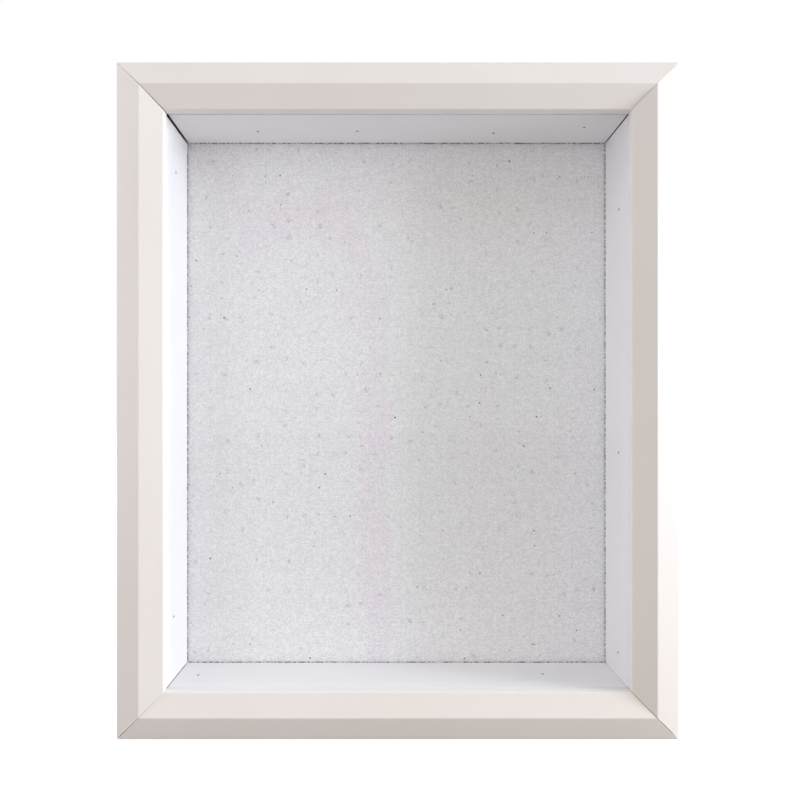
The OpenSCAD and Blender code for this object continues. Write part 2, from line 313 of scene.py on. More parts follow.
def scattered_dots(s, flat, uneven, scale, radii, share, edge, offset, ragged):
    """Random dots: 1 in a dot's middle, 0 outside it. Radii and edge in millimetres."""
    least, most = radii
    moved = s.node("ShaderNodeVectorMath", {"operation": "ADD"})
    s.put(moved.inputs[0], flat)
    moved.inputs[1].default_value = offset
    cells = s.node("ShaderNodeTexVoronoi", {"voronoi_dimensions": "2D"}, Scale=scale)
    s.put(cells.inputs["Vector"], moved.outputs[0])
    pick = s.node("ShaderNodeSeparateColor")
    s.put(pick.inputs[0], cells.outputs["Color"])
    away = s.math("MULTIPLY", cells.outputs["Distance"], 1000 / scale)
    radius = s.math("ADD", s.math("MULTIPLY", pick.outputs[0], most - least), least)
    radius = s.math("ADD", radius, s.math("MULTIPLY", s.math("SUBTRACT", uneven, 0.5), ragged))
    inside = s.math("DIVIDE", s.math("SUBTRACT", radius, away), edge)
    chosen = s.math("LESS_THAN", pick.outputs[1], share)
    return s.math("MULTIPLY", s.math("MINIMUM", s.math("MAXIMUM", inside, 0.0), 1.0), chosen)


def painted_light_arch_share(s, across, up):
    """How much of the painted pink tint of light lies in the cloth: an arch left of the middle."""
    arch_x, arch_z, arch_w, arch_h = -75 * MM, 130 * MM, 66 * MM, 118 * MM
    off_x = s.math("DIVIDE", s.math("SUBTRACT", across, arch_x), arch_w)
    off_x = s.math("POWER", s.math("MAXIMUM", off_x, 0.0), 4.0)
    off_z = s.math("DIVIDE", s.math("SUBTRACT", up, arch_z), arch_h)
    off_z = s.math("POWER", s.math("MAXIMUM", off_z, 0.0), 4.0)
    wander = s.math("MULTIPLY", s.math("SUBTRACT", s.noise(35, 3.0), 0.5), 1.6)
    arch = s.math("ADD", s.math("ADD", off_x, off_z), wander)
    inner_side = s.remap(arch, 0.25, 0.85, smooth=True)
    outer_side = s.remap(arch, 1.0, 1.6, 1.0, 0.0, smooth=True)
    pink_light_arch = s.math("MULTIPLY", inner_side, outer_side)
    return s.math("MULTIPLY", pink_light_arch, s.remap(across, -88 * MM, -70 * MM, smooth=True))


def painted_contact_shade_share(s, across, up):
    """How dark the painted shadow is along the broken line where the liner strips rest on the cloth."""
    low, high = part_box("linen_cover")
    near_x = s.math("SUBTRACT", (high.x - low.x) / 2, s.math("ABSOLUTE", across))
    off_middle = s.math("SUBTRACT", up, (low.z + high.z) / 2)
    near_z = s.math("SUBTRACT", (high.z - low.z) / 2, s.math("ABSOLUTE", off_middle))
    from_edge = s.math("SUBTRACT", s.math("MINIMUM", near_x, near_z), EDGE_HIDDEN)
    line = s.math("MULTIPLY", s.remap(from_edge, -0.15 * MM, 0.4 * MM, 1.0, 0.0, smooth=True),
                  s.remap(from_edge, -0.9 * MM, -0.5 * MM, smooth=True))
    dashes = s.remap(s.noise(980, 1.0, 0.5), 0.45, 0.56, 0.06, 0.85, smooth=True)
    return s.math("MULTIPLY", line, dashes)


def picture_glass():
    """Thin clear pane: light goes straight through, and its outer faces mirror a little, more at a slant."""
    s = Shader("picture_glass")
    s.tree.nodes.remove(s.main)
    clear = s.node("ShaderNodeBsdfTransparent", Color=(0.987, 0.992, 0.996, 1.0))
    gloss = s.node("ShaderNodeBsdfAnisotropic", {"distribution": "GGX"},
                   Roughness=0.03, Color=(0.9, 0.95, 0.97, 1.0))
    fresnel = s.node("ShaderNodeFresnel", IOR=1.5)
    leaving = s.node("ShaderNodeNewGeometry").outputs["Backfacing"]
    share = s.math("MULTIPLY", fresnel.outputs[0], s.math("SUBTRACT", 1.0, leaving))
    mixed = s.node("ShaderNodeMixShader")
    s.put(mixed.inputs[0], share)
    s.put(mixed.inputs[1], clear.outputs[0])
    s.put(mixed.inputs[2], gloss.outputs[0])
    s.put(s.output.inputs["Surface"], mixed.outputs[0])
    return s.material


def pressed_board(name, dark, light, fibre):
    """Hardboard or grey board: pressed fibres in a random felt."""
    s = Shader(name)
    felt = s.noise(700, 4.0, 0.7, s.place((1, 1, 0.6)))
    long_fibre = s.noise(1500, 2.0, 0.6, s.place((0.15, 1, 1)))
    cross_fibre = s.noise(1500, 2.0, 0.6, s.place((1, 1, 0.15)))
    cloud = s.noise(9, 3.0, 0.6)
    tone = s.mix(s.remap(felt, 0.3, 0.7), dark, light)
    tone = s.mix(s.remap(long_fibre, 0.64, 0.74, 0.0, 0.55), tone, fibre)
    tone = s.mix(s.remap(cross_fibre, 0.66, 0.76, 0.0, 0.45), tone, fibre)
    tone = s.mix(s.remap(cloud, 0.3, 0.7, 0.0, 0.22), tone, dark)
    s.set(Base_Color=tone, Roughness=s.remap(cloud, 0.3, 0.7, 0.48, 0.62), Specular_IOR_Level=0.35)
    s.set(Normal=s.bump(felt, 0.05 * MM, 0.35))
    return s.material


def plated_metal(name, colour, roughness, brushed=(1, 1, 1)):
    """Zinc plate or plain steel with fine scratches and slightly uneven brightness."""
    s = Shader(name)
    scratch = s.noise(3000, 2.0, 0.6, s.place(brushed))
    cloud = s.noise(180, 3.0, 0.6)
    dull = tuple(c * 0.72 for c in colour[:3]) + (1.0,)
    s.set(Base_Color=s.mix(s.remap(cloud, 0.35, 0.7), colour, dull), Metallic=1.0)
    s.set(Roughness=s.remap(scratch, 0.3, 0.7, roughness - 0.08, roughness + 0.12))
    s.set(Normal=s.bump(scratch, 0.01 * MM, 0.4))
    return s.material


def blackened_steel():
    """Dull black oxide of a brad's head."""
    s = Shader("blackened_steel")
    worn = s.noise(4000, 3.0, 0.6)
    s.set(Base_Color=s.mix(worn, srgb(12, 11, 12), srgb(26, 24, 24)), Metallic=0.0)
    s.set(Roughness=s.remap(worn, 0.3, 0.7, 0.7, 0.9), Specular_IOR_Level=0.1)
    return s.material


def soft_rubber():
    """Milky soft bumper, slightly hazy."""
    s = Shader("bumper_milky")
    haze = s.noise(600, 2.0, 0.5)
    s.set(Base_Color=s.mix(haze, srgb(228, 231, 231), srgb(214, 219, 219)), Transmission_Weight=0.25)
    s.set(Roughness=s.remap(haze, 0.3, 0.7, 0.22, 0.34), IOR=1.45)
    return s.material


LACQUER = srgb(218, 212, 210)
LACQUER_SHADE = srgb(215, 208, 205)
LIP = srgb(231, 227, 228)
LIP_SHADE = srgb(228, 224, 224)
LINER = srgb(242, 239, 241)
LINER_SHADE = srgb(239, 236, 238)


def painted_both_ways(name, colour, shade, roughness, speck_share):
    """A paint with the grain below it along X, and the same along Z."""
    return {axis: painted_wood(f"{name}_along_{axis.lower()}", colour, shade, roughness, axis, speck_share)
            for axis in "XZ"}


lacquer = painted_both_ways("lacquer", LACQUER, LACQUER_SHADE, 0.38, 0.02)
# The lip's faces get a lighter, cooler tone than the lacquer.
lip_lighter_tone = painted_both_ways("lip", LIP, LIP_SHADE, 0.42, 0.0)
liner_paint = painted_both_ways("liner", LINER, LINER_SHADE, 0.45, 0.015)
bare_wood = {axis: raw_wood(f"bare_wood_along_{axis.lower()}", axis) for axis in "XZ"}
# The sawn ends of the liner strips: raw board, coloured darker than it is as painted shade in the mitre gaps.
sawn_end_and_gap_shade = pressed_board("sawn_end_and_gap_shade", srgb(74, 54, 40), srgb(104, 78, 56), srgb(128, 100, 74))
linen = linen_cloth()
glass = picture_glass()
hardboard = pressed_board("hardboard_brown", srgb(112, 78, 50), srgb(142, 104, 70), srgb(172, 136, 98))
grey_board = pressed_board("board_grey", srgb(150, 147, 140), srgb(172, 169, 162), srgb(196, 192, 184))
zinc = plated_metal("zinc_plate", srgb(198, 196, 186), 0.30, brushed=(0.2, 1, 1))
steel = plated_metal("plain_steel", srgb(176, 176, 178), 0.34)
blackened = blackened_steel()
rubber = soft_rubber()


# ---- Mesh helpers ----------------------------------------------------------------------------


def side_matrix(side):
    """Places a piece drawn for the bottom rail, X along the side and Z inwards, on a side of the frame."""
    half = (HEIGHT if side % 2 == 0 else WIDTH) / 2
    return (Matrix.Translation((0, 0, HEIGHT / 2)) @ Matrix.Rotation(math.pi * (1 + side / 2), 4, "Y")
            @ Matrix.Translation((0, 0, -half)))


def ends_along(node, side):
    """Where a CAD bar starts and ends along its side, in the side's own X."""
    back = side_matrix(side).inverted()
    return sorted((back @ corner).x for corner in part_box(node))


def rounded(a, b, c, r, steps=8):
    """Points of an arc that rounds corner b of the path a-b-c, in the plane."""
    a, b, c = Vector(a), Vector(b), Vector(c)
    p, q = (a - b).normalized(), (c - b).normalized()
    half = math.acos(max(-1, min(1, p.dot(q)))) / 2
    middle = b + (p + q).normalized() * r / math.sin(half)
    start, end = b + p * r / math.tan(half) - middle, b + q * r / math.tan(half) - middle
    arc = [(start * (steps - i) + end * i).normalized() * r + middle for i in range(steps + 1)]
    return [tuple(v) for v in arc]


def new_object(name, bm, materials, smooth=True):
    mesh = bpy.data.meshes.new(name)
    bmesh.ops.recalc_face_normals(bm, faces=bm.faces)
    bm.to_mesh(mesh)
    bm.free()
    mesh.polygons.foreach_set("use_smooth", [smooth] * len(mesh.polygons))
    for material in materials:
        mesh.materials.append(material)
    made = bpy.data.objects.new(name, mesh)
    collection.objects.link(made)
    return made


def settle(obj):
    """Applies the object's modifiers to its mesh."""
    bpy.context.view_layer.update()
    graph = bpy.context.evaluated_depsgraph_get()
    mesh = bpy.data.meshes.new_from_object(obj.evaluated_get(graph))
    obj.modifiers.clear()
    obj.data = mesh


def clean(obj):
    """Cuts many-sided faces into triangles, merges close vertices, and drops doubled or loose faces."""
    bm = bmesh.new()
    bm.from_mesh(obj.data)
    bmesh.ops.triangulate(bm, faces=[face for face in bm.faces if len(face.verts) > 4])
    bmesh.ops.remove_doubles(bm, verts=bm.verts, dist=0.003 * MM)
    by_corners = {}
    for face in bm.faces:
        by_corners.setdefault(frozenset(vert.index for vert in face.verts), []).append(face)
    doubled = [face for faces in by_corners.values() if len(faces) > 1 for face in faces]
    alone = [face for face in bm.faces if all(edge.is_boundary for edge in face.edges)]
    bmesh.ops.delete(bm, geom=list(set(doubled + alone)), context="FACES")
    bmesh.ops.dissolve_degenerate(bm, dist=0.001 * MM, edges=bm.edges)
    bm.to_mesh(obj.data)
    bm.free()


def soften(obj, width, segments=2, angle=30.0):
    """Rounds the sharp edges and evens the shading of the flats."""
    bevel = obj.modifiers.new("edges", "BEVEL")
    bevel.width = width
    bevel.segments = segments
    bevel.limit_method = "ANGLE"
    bevel.angle_limit = math.radians(angle)
    bevel.use_clamp_overlap = True
    weighted = obj.modifiers.new("flats", "WEIGHTED_NORMAL")
    weighted.keep_sharp = True
    weighted.weight = 90


def join_rings(bm, rings):
    """Faces between each ring of vertices and the next."""
    for a, b in zip(rings, rings[1:]):
        for i in range(len(a)):
            j = (i + 1) % len(a)
            bm.faces.new((a[i], a[j], b[j], b[i]))


def bar_mesh(section, ends, base, rings, lean=(0.0, 0.0)):
    """Sweeps a closed section (u inwards, y backwards) along X, with both ends cut at 45 degrees.

    The cuts are off 45 degrees by lean, the extra that each end is cut back at the section's inner side.
    """
    bm = bmesh.new()
    loops = []
    deepest = max(u for u, y in section)
    for ring in range(rings + 1):
        share = ring / rings
        loops.append([bm.verts.new(((ends[0] + u + lean[0] * u / deepest) * (1 - share)
                                    + (ends[1] - u - lean[1] * u / deepest) * share, y, base + u))
                      for u, y in section])
    join_rings(bm, loops)
    bm.faces.new(loops[0])
    bm.faces.new(list(reversed(loops[-1])))
    return bm


def lathe(profile, steps=32):
    """Turns (radius, height) points round +Z. A radius of 0 closes the end."""
    bm = bmesh.new()
    rings = []
    for radius, height in profile:
        if radius < 1e-7:
            rings.append([bm.verts.new((0, 0, height))])
        else:
            turns = [2 * math.pi * k / steps for k in range(steps)]
            rings.append([bm.verts.new((radius * math.cos(t), radius * math.sin(t), height)) for t in turns])
    for a, b in zip(rings, rings[1:]):
        for k in range(steps):
            n = (k + 1) % steps
            if len(a) == 1:
                bm.faces.new((a[0], b[n], b[k]))
            elif len(b) == 1:
                bm.faces.new((a[k], a[n], b[0]))
            else:
                bm.faces.new((a[k], a[n], b[n], b[k]))
    return bm


def dome(radius, height, rim, steps=8):
    """Profile of a domed head from its rim to its top, as (radius, height) points."""
    return [(radius * math.cos(t), rim + (height - rim) * math.sin(t))
            for t in (math.pi / 2 * i / steps for i in range(steps))] + [(0, height)]


def panel_ring(bm, box, cells, inset, y):
    """Vertices round a flat panel, inset from its outline, from its low corner."""
    low, high = box
    nx, nz = cells
    x0, x1, z0, z1 = low.x + inset, high.x - inset, low.z + inset, high.z - inset
    points = [(x0 + (x1 - x0) * i / nx, z0) for i in range(nx)]
    points += [(x1, z0 + (z1 - z0) * i / nz) for i in range(nz)]
    points += [(x1 - (x1 - x0) * i / nx, z1) for i in range(nx)]
    points += [(x0, z1 - (z1 - z0) * i / nz) for i in range(nz)]
    return [bm.verts.new((x, y, z)) for x, z in points]


def quarter_turn(steps):
    """Angles from 0 to 90 degrees."""
    return [math.pi / 2 * i / steps for i in range(steps + 1)]


def edge_rings(bm, box, cells, r, front_y, steps):
    """Rings round a panel's edge, from its front at front_y to its back, with both corners rounded by r."""
    turn = quarter_turn(steps)
    back_y = box[1].y
    front = [panel_ring(bm, box, cells, r * (1 - math.sin(t)), front_y + r * (1 - math.cos(t))) for t in turn]
    back = [panel_ring(bm, box, cells, r * (1 - math.cos(t)), back_y - r * (1 - math.sin(t))) for t in turn]
    return front + back


def fill_ring(bm, border, box, cells, inset, place_y):
    """A fine grid that fills a panel ring. place_y(x, z) gives the y of a vertex inside it."""
    low, high = box
    nx, nz = cells
    x0, x1, z0, z1 = low.x + inset, high.x - inset, low.z + inset, high.z - inset
    grid = {}
    for i in range(nx + 1):
        for k in range(nz + 1):
            if k == 0:
                grid[i, k] = border[i]
            elif i == nx:
                grid[i, k] = border[nx + k]
            elif k == nz:
                grid[i, k] = border[nx + nz + (nx - i)]
            elif i == 0:
                grid[i, k] = border[2 * nx + nz + (nz - k)]
            else:
                x, z = x0 + (x1 - x0) * i / nx, z0 + (z1 - z0) * k / nz
                grid[i, k] = bm.verts.new((x, place_y(x, z), z))
    for i in range(nx):
        for k in range(nz):
            bm.faces.new((grid[i, k], grid[i + 1, k], grid[i + 1, k + 1], grid[i, k + 1]))


def slab(name, box, edge_r, cells, materials, wave=0.0, seed=0.0):
    """A flat panel facing front and back, with rounded edges and corners and a fine grid on its faces."""
    low, high = box
    bm = bmesh.new()
    rings = edge_rings(bm, box, cells, edge_r, low.y, 3)
    join_rings(bm, rings)
    for border, y in ((rings[0], low.y), (rings[-1], high.y)):
        fill_ring(bm, border, box, cells, edge_r,
                  lambda x, z: y + wave * noise.noise(Vector((x * 30 + seed, z * 30, seed))))
    return new_object(name, bm, materials)


def add_copy(target, source, matrix):
    """Adds a transformed copy of one bmesh to another."""
    index = {}
    for vert in source.verts:
        index[vert] = target.verts.new(matrix @ vert.co)
    for face in source.faces:
        made = target.faces.new([index[v] for v in face.verts])
        made.material_index = face.material_index


def cut(obj, cutter):
    """Takes the cutter out of the object, and removes the cutter."""
    change = obj.modifiers.new("cut", "BOOLEAN")
    change.object = cutter
    change.operation = "DIFFERENCE"
    change.solver = "EXACT"
    settle(obj)
    clean(obj)
    bpy.data.objects.remove(cutter)


def outward(x, z, y, turn=0.0):
    """Places a piece drawn along +Z so that it points out of the back of the box at local (x, z)."""
    backwards = Matrix.Rotation(-math.pi / 2, 4, "X")
    return Matrix.Translation((x, y, z)) @ backwards @ Matrix.Rotation(turn, 4, "Z")


# ---- Rails -----------------------------------------------------------------------------------


def rail_section():
    """The rail's outline as (inwards, backwards) points, with its edges rounded."""
    outer_edge = (0, CREST_Y + OUTER_DROP)
    crest = (OUTER_BEVEL_W, CREST_Y)
    window_edge = (FACE_W, CREST_Y + INNER_DROP)
    lip_back = (FACE_W, GLASS_Y)
    return ([(0, BACK_Y)]
            + rounded((0, BACK_Y), outer_edge, crest, EDGE_R)
            + rounded(outer_edge, crest, window_edge, CREST_R)
            + rounded(crest, window_edge, lip_back, EDGE_R)
            + [lip_back, (WALL_T, GLASS_Y), (WALL_T, BACK_Y)])


def v_nail_cutter():
    """All V-nail slots, open at the back face."""
    leg, t, depth = 5 * MM, 0.62 * MM, 10 * MM
    from_corner = (3.5 * MM, 9 * MM)
    bm = bmesh.new()
    for z_end in (0, 1):
        for x_end in (-1, 1):
            for place in from_corner:
                corner = x_end * (WIDTH / 2 - place)
                near = place if z_end == 0 else HEIGHT - place
                up = 1 if z_end == 0 else -1
                outline = [(corner + x_end * across, near + up * along) for across, along in
                           ((t / 2, -t / 2), (t / 2, leg + t / 2), (-t / 2, leg + t / 2),
                            (-t / 2, t / 2), (-leg, t / 2), (-leg, -t / 2))]
                low = [bm.verts.new((x, BACK_Y - depth, z)) for x, z in outline]
                high = [bm.verts.new((x, BACK_Y + MM, z)) for x, z in outline]
                bm.faces.new(low)
                bm.faces.new(list(reversed(high)))
                join_rings(bm, (low, high))
    return new_object("v_nail_slots", bm, [], smooth=False)


def build_rail(side):
    """A mitred rail: lacquer outside, a lighter and cooler tone on its lip, bare wood at the back and in the
    joints.
    """
    node = f"frame_rail_{SIDE_NAMES[side]}"
    along = "X" if side % 2 == 0 else "Z"
    first, last = ends_along(node, side)
    (first_cut, first_lean), (last_cut, last_lean) = MITRES[(side + 1) % 4], MITRES[side]
    ends = (first + first_cut, last - last_cut)
    bm = bar_mesh(rail_section(), ends, 0.0, 20, lean=(first_lean, last_lean))
    bm.transform(side_matrix(side))
    rail = new_object(f"rail_{SIDE_NAMES[side]}", bm, [lacquer[along], bare_wood[along], lip_lighter_tone[along]])
    soften(rail, 0.08 * MM, segments=2, angle=40)
    settle(rail)
    cut(rail, v_nail_cutter())
    across = side_matrix(side).to_3x3() @ Vector((1, 0, 0))
    inwards = side_matrix(side).to_3x3() @ Vector((0, 0, 1))
    for polygon in rail.data.polygons:
        raw = polygon.normal.y > BACK_FACE or abs(polygon.normal.dot(across)) > MITRE_FACE
        inside = polygon.center.y > GLASS_Y + 0.3 * MM and in_rabbet(polygon.center, side)
        lip = polygon.normal.dot(inwards) > LIP_FACE and polygon.center.y < GLASS_Y
        polygon.material_index = 1 if raw or inside else 2 if lip else 0
    weighted = rail.modifiers.new("flats", "WEIGHTED_NORMAL")
    weighted.keep_sharp = True
    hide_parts(node)
    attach(rail, "frame")


def in_rabbet(point, side):
    """Whether a point lies on the inner face of a rail's side wall."""
    return (side_matrix(side).inverted() @ point).z > WALL_T - 0.05 * MM


for side in range(4):
    build_rail(side)


# ---- Liner strips and their brads ------------------------------------------------------------


def build_liner(side):
    """A mitred strip behind the glass, its sawn ends raw board made darker as painted shade in the mitre
    gaps.
    """
    node = f"liner_{SIDE_NAMES[side]}"
    along = "X" if side % 2 == 0 else "Z"
    eases = (0.15 * MM, 0.50 * MM, 0.15 * MM, 0.15 * MM)
    corners = [(0, LINER_FRONT_Y), (LINER_T, LINER_FRONT_Y), (LINER_T, LINER_BACK_Y), (0, LINER_BACK_Y)]
    section = []
    for i, corner in enumerate(corners):
        section += rounded(corners[i - 1], corner, corners[(i + 1) % 4], eases[i], steps=4)
    bm = bar_mesh(section, ends_along(node, side), WALL_T, 24)
    bm.transform(side_matrix(side))
    strip = new_object(f"liner_strip_{SIDE_NAMES[side]}", bm, [liner_paint[along], sawn_end_and_gap_shade])
    soften(strip, 0.06 * MM, segments=2, angle=40)
    settle(strip)
    across = side_matrix(side).to_3x3() @ Vector((1, 0, 0))
    for polygon in strip.data.polygons:
        polygon.material_index = 1 if abs(polygon.normal.dot(across)) > MITRE_FACE else 0
    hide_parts(node)
    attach(strip, "frame")


for side in range(4):
    build_liner(side)


def build_brads():
    """The pins of the liner strips, each with a flat head a little proud of the strip."""
    head_r, shank_r, length, sink, proud = 0.68 * MM, 0.4 * MM, 14 * MM, 0.02 * MM, 0.04 * MM
    tip = [(0, -length), (shank_r * 0.6, -length + 0.6 * MM)]
    shank = [(shank_r, -length + 1.4 * MM), (shank_r, -0.6 * MM)]
    rim = [(head_r, -0.5 * MM), (head_r, -0.10 * MM)]
    face = [(head_r * 0.86, -0.03 * MM), (head_r * 0.3, -sink), (0, -sink)]
    pin = lathe(tip + shank + rim + face, 20)
    every = bmesh.new()
    middle_y = (LINER_FRONT_Y + LINER_BACK_Y) / 2
    for side, places in BRAD_PLACES.items():
        for x, setback in places:
            inwards = Matrix.Translation((x * MM, middle_y + setback * MM, WALL_T + LINER_T + proud))
            add_copy(every, pin, side_matrix(side) @ inwards)
    brads = new_object("brads", every, [blackened])
    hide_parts("liner_brads")
    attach(brads, "frame")


build_brads()

# ---- Glass -----------------------------------------------------------------------------------

pane = slab("pane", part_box("glass_pane"), 0.3 * MM, (8, 10), [glass])
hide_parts("glass_pane")
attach(pane, "frame")

# ---- Loose back: linen, board and panel ------------------------------------------------------


def build_linen():
    """Linen stretched over the board, round its edges and lapped on its back, on one grid of the cloth."""
    box = low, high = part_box("linen_cover")
    turn_r, lap, step = 0.6 * MM, 20 * MM, 1.1 * MM
    cells = round((high.x - low.x) / step), round((high.z - low.z) / step)
    bm = bmesh.new()
    chance = random.Random(11)
    slubs = [(chance.uniform(low.x, high.x), chance.uniform(low.z, high.z), chance.random() < 0.6,
              chance.uniform(1.5, 5) * MM, chance.uniform(0.05, 0.14) * MM) for _ in range(260)]
    cell = 12 * MM
    by_cell = {}
    for slub in slubs:
        for dx in (-1, 0, 1):
            for dz in (-1, 0, 1):
                by_cell.setdefault((int(slub[0] / cell) + dx, int(slub[1] / cell) + dz), []).append(slub)

    def relief(x, z):
        """How far the cloth stands forward: slow ripples, thread unevenness and slubs."""
        rise = 0.05 * MM * noise.noise(Vector((x * 90, z * 90, 3.1)))
        rise += 0.03 * MM * noise.noise(Vector((x * 700, z * 250, 7.7)))
        for sx, sz, level, length, tall in by_cell.get((int(x / cell), int(z / cell)), ()):
            along, off = (x - sx, z - sz) if level else (z - sz, x - sx)
            rise += tall * math.exp(-(along / length) ** 2 - (off / (0.8 * MM)) ** 2)
        return max(0.0, rise + 0.04 * MM)

    front_y = low.y + 0.2 * MM
    rings = edge_rings(bm, box, cells, turn_r, front_y, 4)
    rings += [panel_ring(bm, box, cells, turn_r + (lap - turn_r) * share, high.y)
              for share in (0.25, 0.5, 0.75, 1.0)]
    join_rings(bm, rings)
    fill_ring(bm, rings[0], box, cells, turn_r, lambda x, z: front_y - relief(x, z))
    cloth = new_object("linen_sheet", bm, [linen])
    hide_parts("linen_cover")
    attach(cloth, "back")


board = slab("board_core_sheet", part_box("display_board"), 0.3 * MM, (16, 20), [grey_board],
             wave=0.03 * MM, seed=2.0)
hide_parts("display_board")
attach(board, "back")

build_linen()

panel = slab("hardboard_panel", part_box("backing_panel"), 0.4 * MM, (22, 27), [hardboard])
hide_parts("backing_panel")
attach(panel, "back")

# ---- Turn buttons, screws, hangers, nails and bumpers ----------------------------------------


def pivots(side):
    """The two turn-button pivots of a side in its own frame, with the direction that each tip points."""
    reach = BUTTON_X if side % 2 == 0 else BUTTON_Z
    return [(reach, 1), (-reach, -1)]


def button_edge(angle, reach, big, small):
    """Distance from the pivot to a turn button's edge at an angle from its tip's direction."""
    lean = math.pi / 2 - math.asin((big - small) / reach)
    turn = abs(math.remainder(angle, 2 * math.pi))
    if turn >= lean:
        return big
    tip_turn = math.atan2(small * math.sin(lean), reach + small * math.cos(lean))
    if turn <= tip_turn:
        return reach * math.cos(turn) + math.sqrt(max(0, small ** 2 - (reach * math.sin(turn)) ** 2))
    return big / math.cos(lean - turn)


def build_button(name, side, end):
    """A stamped plate with rolled edges and a pressed rib along its arm."""
    reach, big, small, hole = 14.5 * MM, 5 * MM, 3.5 * MM, 1.5 * MM
    round_off, count = 0.25 * MM, 96
    rib_middle, rib_half, rib_high, rib_fall, rib_wide = 0.62, 0.20, 0.45 * MM, 1.2 * MM, 1.3 * MM
    tip_bunching = 0.72
    angles = []
    for i in range(count):
        t = 2 * math.pi * i / count
        angles.append(t - tip_bunching * math.sin(t))
    bm = bmesh.new()

    def ring(share, inset, y, pressed):
        points = []
        for angle in angles:
            edge = button_edge(angle, reach, big, small) - inset
            r = hole + (edge - hole) * share if share else hole + inset
            x, z = r * math.cos(angle), r * math.sin(angle)
            lift = 0.0
            if pressed:
                along = max(0.0, abs(x - reach * rib_middle) - reach * rib_half)
                lift = rib_high * math.exp(-(along / rib_fall) ** 2 - (z / rib_wide) ** 2)
            points.append(bm.verts.new((x, y + lift, z)))
        return points

    quarter = quarter_turn(3)
    rings = [ring(1, round_off * (1 - math.cos(t)), BUTTON_HIGH_Y - round_off * (1 - math.sin(t)), False)
             for t in quarter]
    rings += [ring(share, round_off, BUTTON_HIGH_Y, True)
              for share in (0.94, 0.86, 0.76, 0.66, 0.56, 0.46, 0.36, 0.26, 0.16, 0.08)]
    rings += [ring(0, round_off * (1 - math.sin(t)), BUTTON_HIGH_Y - round_off * (1 - math.cos(t)), False)
              for t in quarter]
    rings += [ring(0, 0, BUTTON_LOW_Y, False)]
    rings += [ring(share, round_off, BUTTON_LOW_Y, False) for share in (0.3, 0.6, 1)]
    rings += [ring(1, 0, BUTTON_LOW_Y + round_off, False)]
    join_rings(bm, rings + rings[:1])
    x, direction = pivots(side)[end]
    place = side_matrix(side) @ Matrix.Translation((x, 0, WALL_T / 2)) @ Matrix.Scale(direction, 4, (1, 0, 0))
    bm.transform(place)
    piece = new_object(f"button_{name}", bm, [zinc])
    soften(piece, 0.01 * MM, segments=1, angle=60)
    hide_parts(f"turn_button_{name}")
    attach(piece, f"turn_button_{name}")


BUTTONS = {
    "top_left": (TOP, 0), "top_right": (TOP, 1), "right_upper": (RIGHT, 0), "right_lower": (RIGHT, 1),
    "bottom_right": (BOTTOM, 0), "bottom_left": (BOTTOM, 1), "left_lower": (LEFT, 0), "left_upper": (LEFT, 1),
}
for name, (side, end) in BUTTONS.items():
    build_button(name, side, end)


def cross_cutter(size, depth, top):
    """A cross-shaped driver tip, narrowing downwards, with its wide end above the head's top."""
    arm, t = size, size * 0.26
    outline = [(arm, -t), (arm, t), (t, t), (t, arm), (-t, arm), (-t, t),
               (-arm, t), (-arm, -t), (-t, -t), (-t, -arm), (t, -arm), (t, -t)]
    bm = bmesh.new()
    low, high = ([bm.verts.new((x * scale, y * scale, z)) for x, y in outline]
                 for z, scale in ((top - depth, 0.6), (top + 0.5 * MM, 1.1)))
    bm.faces.new(low)
    bm.faces.new(list(reversed(high)))
    join_rings(bm, (low, high))
    return new_object("driver", bm, [], smooth=False)


def build_screws():
    """Pan-head screws with a cross recess, each turned by chance."""
    head_r, shank_r, length, head_h = 2.9 * MM, 1.4 * MM, 10.8 * MM, 1.8 * MM
    tip = [(0, -length), (shank_r * 0.25, -length + 0.5 * MM), (shank_r * 0.8, -length + 2.6 * MM)]
    shank = [(shank_r, -length + 3 * MM), (shank_r, 0)]
    head = [(head_r * 0.93, 0), (head_r, 0.18 * MM), (head_r, 0.7 * MM)] + dome(head_r, head_h, 0.75 * MM, 10)
    one = new_object("screw", lathe(tip + shank + head, 40), [steel])
    cut(one, cross_cutter(1.45 * MM, 1.15 * MM, head_h))
    soften(one, 0.05 * MM, segments=1, angle=45)
    settle(one)
    clean(one)
    source = bmesh.new()
    source.from_mesh(one.data)
    bpy.data.objects.remove(one)
    every = bmesh.new()
    chance = random.Random(5)
    for side in range(4):
        for x, _ in pivots(side):
            place = outward(x, WALL_T / 2, SCREW_HIGH_Y - head_h, chance.uniform(0, 3))
            add_copy(every, source, side_matrix(side) @ place)
    screws = new_object("button_screws", every, [steel])
    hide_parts("turn_button_screws")
    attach(screws, "frame")


build_screws()


def build_hanger_nails():
    """The two nails of each sawtooth hanger."""
    head_r, shank_r, length, rim = 1.7 * MM, 0.7 * MM, 9 * MM, 0.5 * MM
    shank = [(0, -length), (shank_r * 0.5, -length + MM), (shank_r, -length + 2 * MM), (shank_r, 0)]
    head = [(head_r * 0.95, 0), (head_r, 0.12 * MM), (head_r * 0.97, 0.3 * MM)]
    source = lathe(shank + head + dome(head_r * 0.94, rim, 0.34 * MM, 4), 28)
    every = bmesh.new()
    for side in (TOP, LEFT):
        for end in (-1, 1):
            place = outward(end * HANGER_NAIL_X, WALL_T / 2, NAIL_HIGH_Y - rim)
            add_copy(every, source, side_matrix(side) @ place)
    nails = new_object("nails_of_hangers", every, [steel])
    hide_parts("hanger_nails")
    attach(nails, "frame")


build_hanger_nails()


